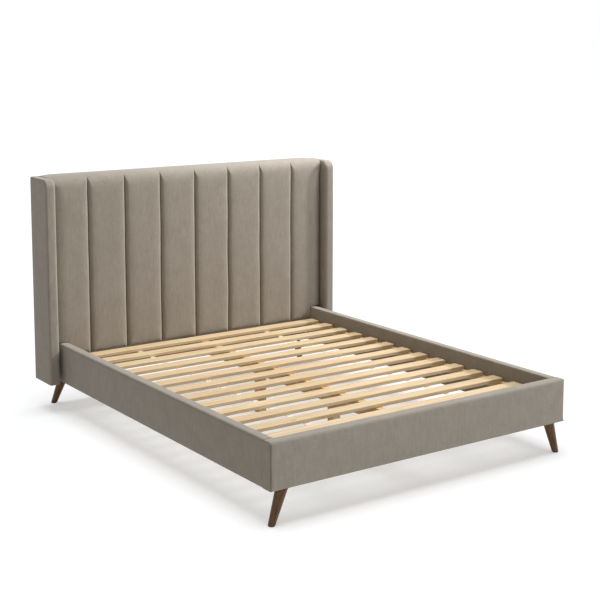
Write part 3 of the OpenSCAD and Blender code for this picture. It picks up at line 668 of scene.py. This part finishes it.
# Headboard's front: eight channels sewn side by side into one velvet cover over the foam. Each is tight over
# its filling with round shoulders, and its top sweeps back to meet the rolled edge where the seams end.
CHANNELS, CHANNEL_RISE, SHOULDER = 8, 3 * MM, 20 * MM
END_WIDTH, END_DEPTH, END_FADE = 85 * MM, 20 * MM, 60 * MM
SWAY, SWAY_LENGTH, SWAY_FADE = 2.2 * MM, 220 * MM, 50 * MM
DIMPLE_DEPTH, DIMPLE_WIDTH, DIMPLE_HEIGHT = 3 * MM, 9 * MM, 12 * MM
# The front sweeps back ever more towards the seams' top, where it leans back as much as the roll's lip
ROLL_TURN = math.radians(45)
channel_low, channel_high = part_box("channel_1")
roll_low, roll_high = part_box("headboard_top_roll")
crown_y, seam_y, foam_y = channel_low.y, roll_low.y, channel_high.y
pitch = channel_high.x - channel_low.x
sweep_fade = (seam_y - crown_y) / math.tan(ROLL_TURN)


def swept(z):
    """How far forward the front may come at a height"""
    return crown_y + (seam_y - crown_y) * math.exp(-max(0, channel_high.z - z) / sweep_fade)


def seam_sway(seam, z):
    """How far a seam wanders sideways at a height; the two ends of the front don't"""
    if seam in (0, CHANNELS):
        return 0
    return SWAY * ripple((seam * 3.7, 0, z), SWAY_LENGTH) * min(1, (channel_high.z - z) / SWAY_FADE)


def seam_dimple(place):
    """How deep the end of a seam pulls the cover in at a place near the front's top edge"""
    beside = min(abs(place.x - channel_low.x - seam * pitch) for seam in range(1, CHANNELS))
    above = place.z - channel_high.z
    return DIMPLE_DEPTH * math.exp(-(beside / DIMPLE_WIDTH) ** 2 - (above / DIMPLE_HEIGHT) ** 2)


def pulled_back(place):
    """How far the cover is pulled back towards the front's two ends, beside the wings"""
    end = max(0, 1 - (abs(channel_low.x) - abs(place.x)) / END_WIDTH) ** 2 * END_DEPTH
    return end * max(0, min(1, (foam_y - place.y) / (foam_y - crown_y)))


channels = []
near_top = [channel_high.z - gap * MM for gap in (54, 43, 33, 24, 16, 9, 4)]
front = crown_y + CHANNEL_RISE
for number in range(1, CHANNELS + 1):
    low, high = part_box(f"channel_{number}")
    form = stuffed_form(
        strips(low.x, high.x, SHOULDER, SHOULDER, also={1: [-notch_x], CHANNELS: [notch_x]}.get(number, ())),
        strips(low.z, high.z, SHOULDER, 0, LONG_STRIP, [notch_z] + near_top),
        strips(front, foam_y, SHOULDER, width=36 * MM),
        left_out=lambda place: abs(place.x) > notch_x and place.z < notch_z)
    round_off(form, 0, low.x, 1, front, SHOULDER, out_a=-1, out_b=-1)
    round_off(form, 0, high.x, 1, front, SHOULDER, out_b=-1)
    round_off(form, 2, low.z, 1, front, SHOULDER, out_a=-1, out_b=-1)
    channel = make_piece(f"channel_velvet_{number}", form, velvet)
    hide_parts(f"channel_{number}")
    channels.append(channel)
swell(channels, lambda place: float(place.y > seam_y - 1.5 * MM or place.z > channel_high.z - 0.5 * MM),
      CHANNEL_RISE, uneven=1.2 * MM, fullness=3)
for number, channel in enumerate(channels):
    left = channel_low.x + number * pitch
    for v in channel.data.vertices:
        across = (v.co.x - left) / pitch
        v.co.x += (1 - across) * seam_sway(number, v.co.z) + across * seam_sway(number + 1, v.co.z)
        v.co.z = min(v.co.z, channel_high.z)
        v.co.y += pulled_back(v.co) * min(1, (channel_high.z - v.co.z) / END_FADE)
        v.co.y = max(v.co.y, swept(v.co.z)) + seam_dimple(v.co)
    # Points that the sweep has pressed together become one, and the top edge is kept crisp
    form = bmesh.new()
    form.from_mesh(channel.data)
    bmesh.ops.remove_doubles(form, verts=form.verts[:], dist=0.3 * MM)
    crease = form.edges.layers.float["crease_edge"]
    for edge in form.edges:
        at_top = min(v.co.z for v in edge.verts) > channel_high.z - 0.1 * MM
        if at_top and edge.calc_face_angle(0) > math.radians(20):
            edge.smooth, edge[crease] = False, 1
    form.to_mesh(channel.data)
    form.free()
    finish_pad(channel)


# Rolled top edge: the cover runs on from the channels, over a roll of wadding on top of the foam and the
# timbers, and down to the back. It drops a little towards the wings.
ROLL_RISE, END_DROP, BACK_ROUND, LIP_FADE = 2 * MM, 7 * MM, 10 * MM, 14 * MM
low, high = roll_low, roll_high
lip_rise = high.z - ROLL_RISE - channel_high.z
roll_y = seam_y + lip_rise * math.cos(ROLL_TURN) / (1 - math.sin(ROLL_TURN))
corner_y = seam_y + lip_rise * math.tan(ROLL_TURN)
timber_z = low.z
form = bmesh.new()
outline = [(seam_y, channel_high.z), (corner_y, high.z - ROLL_RISE), (high.y, high.z - ROLL_RISE),
           (high.y, timber_z), (foam_y, timber_z), (foam_y, channel_high.z)]
corners = [form.verts.new((low.x, y, z)) for y, z in outline]
form.faces.new(corners)
for corner, radius, steps in ((corners[1], (roll_y - corner_y) * 0.98, 6), (corners[2], BACK_ROUND, 3)):
    bmesh.ops.bevel(form, geom=[corner], offset=radius, segments=steps, profile=0.5, affect="VERTICES",
                    material=-1)
for y in strips(roll_y, high.y - BACK_ROUND)[1:-1]:
    bmesh.ops.bisect_plane(form, geom=form.verts[:] + form.edges[:] + form.faces[:], dist=1e-6,
                           plane_co=(0, y, 0), plane_no=(0, 1, 0))
cuts = [channel_low.x + seam * pitch + step * MM for seam in range(1, CHANNELS) for step in (-7, 0, 7)]
push_out(form, form.faces[:], 0, strips(low.x, high.x, width=LONG_STRIP, also=cuts))
roll = make_piece("top_roll_velvet", form, velvet)
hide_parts("headboard_top_roll")


def roll_held(place):
    """Held along the lip that meets the channels, ever less up the curve, and at both ends"""
    lip = 1 - max(0, min(1, (place.z - channel_high.z) / LIP_FADE))
    return 1.0 if abs(place.x) > high.x - MM or place.z < channel_high.z - MM else lip ** 0.5


swell([roll], roll_held, ROLL_RISE, uneven=0.8 * MM)
for v in roll.data.vertices:
    if v.co.y < roll_y:
        v.co.y += seam_dimple(v.co)
    above_lip = max(0, (v.co.z - channel_high.z) / (high.z - channel_high.z))
    v.co.z -= END_DROP * above_lip * max(0, 1 - (high.x - abs(v.co.x)) / END_WIDTH) ** 2
finish_pad(roll)


# Headboard's back: a thin board covered in the same velvet, with its edges turned in, that closes the frame
# between the wings.
BACK_EDGE, BACK_STRIP, BACK_UNEVEN, BACK_RIPPLE = 2 * MM, 50 * MM, 0.6 * MM, 250 * MM
low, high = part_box("headboard_back")
form = stuffed_form(
    strips(low.x, high.x, BACK_EDGE, BACK_EDGE, BACK_STRIP),
    strips(low.z, high.z, BACK_EDGE, BACK_EDGE, BACK_STRIP), strips(low.y, high.y, 0, BACK_EDGE))
for axis in (0, 2):
    round_off(form, axis, low[axis], 1, high.y, BACK_EDGE, out_a=-1)
    round_off(form, axis, high[axis], 1, high.y, BACK_EDGE)
back = make_piece("back_velvet", form, velvet)
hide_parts("headboard_back")
for v in back.data.vertices:
    if v.co.y > high.y - MM:
        v.co.y -= BACK_UNEVEN * (1 + ripple(v.co, BACK_RIPPLE, seed=3))
finish_pad(back)


# Wings: a plywood board in foam and velvet at each side of the headboard, dowelled to the posts. The cover
# has a full round front edge and a rounded front top corner, and is stapled underneath.
WING_RISE = 2 * MM
WING_INNER_PAD, WING_FRONT_PAD, PAD_START, PAD_FADE = 8 * MM, 5 * MM, 12 * MM, 30 * MM
WING_CORNER, WING_INNER_EDGE, WING_OUTER_EDGE, WING_ROLL_EDGE = 42 * MM, 11 * MM, 9 * MM, 2.5 * MM
finish_nodes(birch_plywood("birch_plywood_wing", (1, 1, 0.05), 0), "wing_core_left", "wing_core_right")


def turned_beech():
    """Beech dowel, fluted and turned: pale pink-brown, with short dark flecks"""
    material, shader, place = start_material("turned_beech_dowel", Roughness=0.55)
    along = add(material, "Mapping", {"Vector": place, "Scale": (0.2, 1, 1)})
    flecks = add(material, "TexNoise", {"Vector": along, "Scale": 1 / (1.5 * MM)})
    fleck_share = add(material, "MapRange", {0: flecks, 1: 0.5, 2: 0.75, 4: 0.7})
    colour = add(material, "Mix", {0: fleck_share, 6: linear("D9B286"), 7: linear("B98A5C")},
                 data_type="RGBA", out=2)
    relief = add(material, "Bump", {"Height": flecks, "Strength": 0.2, "Distance": 0.2 * MM})
    return finish_material(material, shader, colour, relief)


finish_nodes(turned_beech(), "wing_dowels")
wings = []
for side, name in ((-1, "left"), (1, "right")):
    low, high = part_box("wing_cover_" + name)
    board_low, board_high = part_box("wing_core_" + name)
    inner, outer = sorted((low.x, high.x), key=abs)
    outer -= side * WING_RISE
    front, rear, top = low.y + WING_RISE, high.y, high.z - WING_RISE
    edges = (WING_INNER_EDGE, WING_OUTER_EDGE)[::side]
    form = stuffed_form(
        strips(*sorted((inner, outer)), *edges, also=[board_low.x, board_high.x]),
        strips(front, rear, WING_INNER_EDGE, WING_OUTER_EDGE, also=[board_low.y, board_high.y]),
        strips(low.z, top, 0, WING_CORNER, LONG_STRIP), axes=(0, 1, 2))
    hollow_below(form, board_low, board_high)
    round_off(form, 1, front, 2, top, WING_CORNER, out_a=-1)
    # The front edges run on round the corner and along the top: they are rounded by depth below that outline
    centre = Vector((front + WING_CORNER, top - WING_CORNER))
    for v in form.verts:
        place = Vector((v.co.y, v.co.z))
        if place.x < centre.x and place.y > centre.y:
            out = (place - centre).normalized()
            depth = WING_CORNER - (place - centre).length
        elif place.y > centre.y and top - place.y < place.x - front:
            out, depth = Vector((0, 1)), top - place.y
        else:
            out, depth = Vector((-1, 0)), place.x - front
        for face_x, radius in ((inner, WING_INNER_EDGE), (outer, WING_OUTER_EDGE)):
            if out.y > 0.9:
                radius = WING_ROLL_EDGE if face_x == inner and v.co.y > seam_y else WING_OUTER_EDGE
            into = radius - depth
            beside = radius - abs(v.co.x - face_x)
            if into > 0 and beside > 0:
                pull = 1 - max(into, beside) / math.hypot(into, beside)
                v.co.y -= out.x * into * pull
                v.co.z -= out.y * into * pull
                v.co.x -= math.copysign(beside * pull, face_x - (inner + outer) / 2)
    round_off(form, 0, outer, 1, rear, WING_OUTER_EDGE, out_a=side)
    wing = make_piece(f"wing_velvet_{name}", form, velvet)
    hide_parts("wing_cover_" + name)
    wings.append(wing)
wing_low, wing_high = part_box("wing_cover_right")
board_in, board_out = board_low.x, board_high.x


def wing_held(place):
    """Held at its underside, its rear, where it meets the headboard, and round the board"""
    against = abs(place.x) < wing_low.x + MM and place.y > seam_y
    round_board = in_box(Vector((abs(place.x), place.y, place.z)), board_low, board_high)
    return float(place.z < wing_low.z + 2 * MM or place.y > wing_high.y - 2 * MM or against or round_board)


swell(wings, wing_held, WING_RISE, uneven=0.8 * MM)
# The padding is thicker on the front edge and on the inner face, where it stands clear of the channels
for wing in wings:
    for v in wing.data.vertices:
        inward = max(0, 1 - (abs(v.co.x) - wing_low.x) / (board_in - wing_low.x))
        forward = max(0, 1 - (v.co.y - wing_low.y) / (board_low.y - wing_low.y))
        clear = max(0, min(1, (seam_y - PAD_START - v.co.y) / PAD_FADE))
        v.co.x -= math.copysign(WING_INNER_PAD * min(1, inward) * clear ** 2 * (3 - 2 * clear), v.co.x)
        v.co.y -= WING_FRONT_PAD * min(1, forward)
    finish_pad(wing)


# Legs: turned, tapered and oiled walnut, splayed out to the sides. Each hangs on a bolt in a steel plate that
# four screws hold under the frame, and stands on a nylon glide.
LEG_SPLAY, REAR_SPLAY = math.radians(18.5), math.radians(8.5)
LEG_IN, LEG_BACK = 42 * MM, 20 * MM
PLATE_SCREW_X, PLATE_SCREW_Y = 35 * MM, 12 * MM


def oiled_walnut(name, turn, centre):
    """Walnut, turned and oiled: brown with dark rings along the leg, open pores and a satin gloss"""
    material, shader, place = start_material(name, Roughness=0.33, Specular_IOR_Level=0.22, Coat_Weight=0.12,
                                             Coat_Roughness=0.2)
    moved = add(material, "VectorMath", {0: place, 1: centre}, operation="SUBTRACT")
    leaned = add(material, "Mapping", {"Vector": moved, "Rotation": turn})
    along = add(material, "Mapping", {"Vector": leaned, "Scale": (1, 1, 0.07)})
    sway = add(material, "TexNoise", {"Vector": along, "Scale": 1 / (25 * MM)}, out=1)
    bent = add(material, "Mix", {0: 0.01, 4: along, 5: sway}, data_type="VECTOR", out=1)
    rings = add(material, "TexNoise", {"Vector": bent, "Scale": 1 / (5 * MM), "Detail": 3})
    fine = add(material, "Mapping", {"Vector": leaned, "Scale": (1, 1, 0.03)})
    # Pores are 0.3 mm wide in the real wood and drawn 1 mm wide
    pores = add(material, "TexNoise", {"Vector": fine, "Scale": 1 / MM})
    late = add(material, "MapRange", {0: rings, 1: 0.35, 2: 0.65})
    figure = add(material, "Mix", {0: late, 6: linear("76522A"), 7: linear("422B14")},
                 data_type="RGBA", out=2)
    pore_share = add(material, "MapRange", {0: pores, 1: 0.5, 2: 0.8, 4: 0.7})
    colour = add(material, "Mix", {0: pore_share, 6: figure, 7: linear("281A0C")}, data_type="RGBA", out=2)
    relief = add(material, "Bump", {"Height": pores, "Strength": 0.2, "Distance": 0.15 * MM})
    return finish_material(material, shader, colour, relief)


plate_low, plate_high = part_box("leg_plates")
screw_places = []
for end, y, lean in (("front", plate_low.y + LEG_BACK, 0), ("rear", plate_high.y - LEG_BACK, REAR_SPLAY)):
    for side, name in ((-1, "left"), (1, "right")):
        x = side * (plate_high.x - LEG_IN)
        turn = Matrix.Rotation(lean, 3, "X") @ Matrix.Rotation(-side * LEG_SPLAY, 3, "Y")
        walnut = oiled_walnut(f"oiled_walnut_{end}_{name}", turn.inverted().to_euler(), (x, y, plate_high.z))
        finish_nodes(walnut, f"leg_{end}_{name}")
        for step_x in (-PLATE_SCREW_X, PLATE_SCREW_X):
            for step_y in (-PLATE_SCREW_Y, PLATE_SCREW_Y):
                screw_places.append(((x + step_x, y + step_y, plate_low.z), (0, 0, -1)))
make_piece("leg_plate_screws", set_out(screw_head(4.2 * MM, 1.6 * MM, 2 * MM, 22 * MM, 4), screw_places),
           zinc_steel)
finish_nodes(zinc_steel, "leg_hanger_bolts")


# Room: a plain pale floor and a white background. A broad lamp overhead lights the floor; a key lamp high on
# the right, a top light over the headboard and a softbox in front light the bed; the world lights both.
FLOOR_GLOW, WORLD_LIGHT = 0.36, 0.46
floor_form = bmesh.new()
bmesh.ops.create_grid(floor_form, x_segments=1, y_segments=1, size=40)
floor_mesh = bpy.data.meshes.new("floor")
floor_form.to_mesh(floor_mesh)
floor_form.free()
floor = bpy.data.objects.new("floor", floor_mesh)
bpy.context.scene.collection.objects.link(floor)


def background_seen(owner):
    """1 where the camera, a reflection or a view through glass meets the background, and 0 for its light"""
    rays = add(owner, "LightPath", {}).node.outputs
    seen = rays["Is Camera Ray"]
    for ray in ("Is Glossy Ray", "Is Transmission Ray"):
        seen = add(owner, "Math", {0: seen, 1: rays[ray]}, operation="MAXIMUM")
    return seen


paper = bpy.data.materials.new("matt_white_paper")
paper.use_nodes = True
paper.node_tree.nodes.remove(paper.node_tree.nodes["Principled BSDF"])
matt = add(paper, "BsdfDiffuse", {"Color": linear("DCE0E4")})
share = add(paper, "Math", {0: background_seen(paper), 1: FLOOR_GLOW}, operation="MULTIPLY")
glow = add(paper, "Emission", {"Color": (1, 1, 1, 1), "Strength": share})
surface = add(paper, "AddShader", {0: matt, 1: glow})
paper.node_tree.links.new(surface, paper.node_tree.nodes["Material Output"].inputs["Surface"])
floor_mesh.materials.append(paper)

world = bpy.data.worlds.new("studio")
world.use_nodes = True
bpy.context.scene.world = world
surround = add(world, "Background", {"Color": linear("FFFAF4"), "Strength": WORLD_LIGHT})
backdrop = add(world, "Background", {"Color": (1, 1, 1, 1), "Strength": 1.0})
sky = add(world, "MixShader", {0: background_seen(world), 1: surround, 2: backdrop})
world.node_tree.links.new(sky, world.node_tree.nodes["World Output"].inputs["Surface"])


# Each lamp lights one collection: the floor alone, or everything that isn't the floor
for_floor = bpy.data.collections.new("for_floor")
for_floor.objects.link(floor)
not_floor = bpy.data.collections.new("not_floor")
not_floor.objects.link(floor)
not_floor.collection_objects[0].light_linking.link_state = "EXCLUDE"
COOL_WHITE = linear("F8FBFF")[:3]


def hang_lamp(name, kind, place, at, lit, **settings):
    """Hangs a lamp at a place, aims it and gives it the collection that it lights"""
    lamp = bpy.data.lights.new(name, kind)
    for key, value in settings.items():
        setattr(lamp, key, value)
    hung = bpy.data.objects.new(name, lamp)
    hung.location = place
    hung.rotation_euler = (Vector(at) - Vector(place)).to_track_quat("-Z", "Y").to_euler()
    hung.light_linking.receiver_collection = lit
    bpy.context.scene.collection.objects.link(hung)


hang_lamp("overhead", "SUN", (0, 0, 6), (0, 0, 0), for_floor, energy=0.55 * math.pi, angle=math.radians(40))
hang_lamp("key", "SUN", (5.6, -2.4, 4.2), (0, 0, 0), not_floor, energy=0.79 * math.pi, angle=math.radians(7),
          color=COOL_WHITE)
hang_lamp("top_light", "AREA", (1.2, 0.45, 3.3), (0.3, 0.45, 0.5), not_floor, shape="SQUARE", size=0.8,
          energy=81, color=COOL_WHITE)
hang_lamp("softbox", "AREA", (4.0, -4.5, 1.4), (0.4, 0, 0.5), not_floor, shape="SQUARE", size=2.0, energy=40)


# Camera: a little above eye height off the bed's front left corner, as in the photograph. It tilts down less
# than it looks, and its lens is shifted for the rest. FOCAL_LENGTH is in widths of the picture.
FOCAL_LENGTH, TILT, TURN = 1266.05 / 600, 7.496, 34.847
eye = bpy.data.cameras.new("eye")
eye.sensor_width, eye.lens = 36, FOCAL_LENGTH * 36
eye.shift_y = -0.16
camera = bpy.data.objects.new("camera", eye)
camera.location = (-3.6106, -5.2788, 2.0097)
camera.rotation_euler = (math.radians(90 - TILT), 0, math.radians(-TURN))
bpy.context.scene.collection.objects.link(camera)
bpy.context.scene.camera = camera
bpy.context.scene.view_settings.view_transform = "Standard"
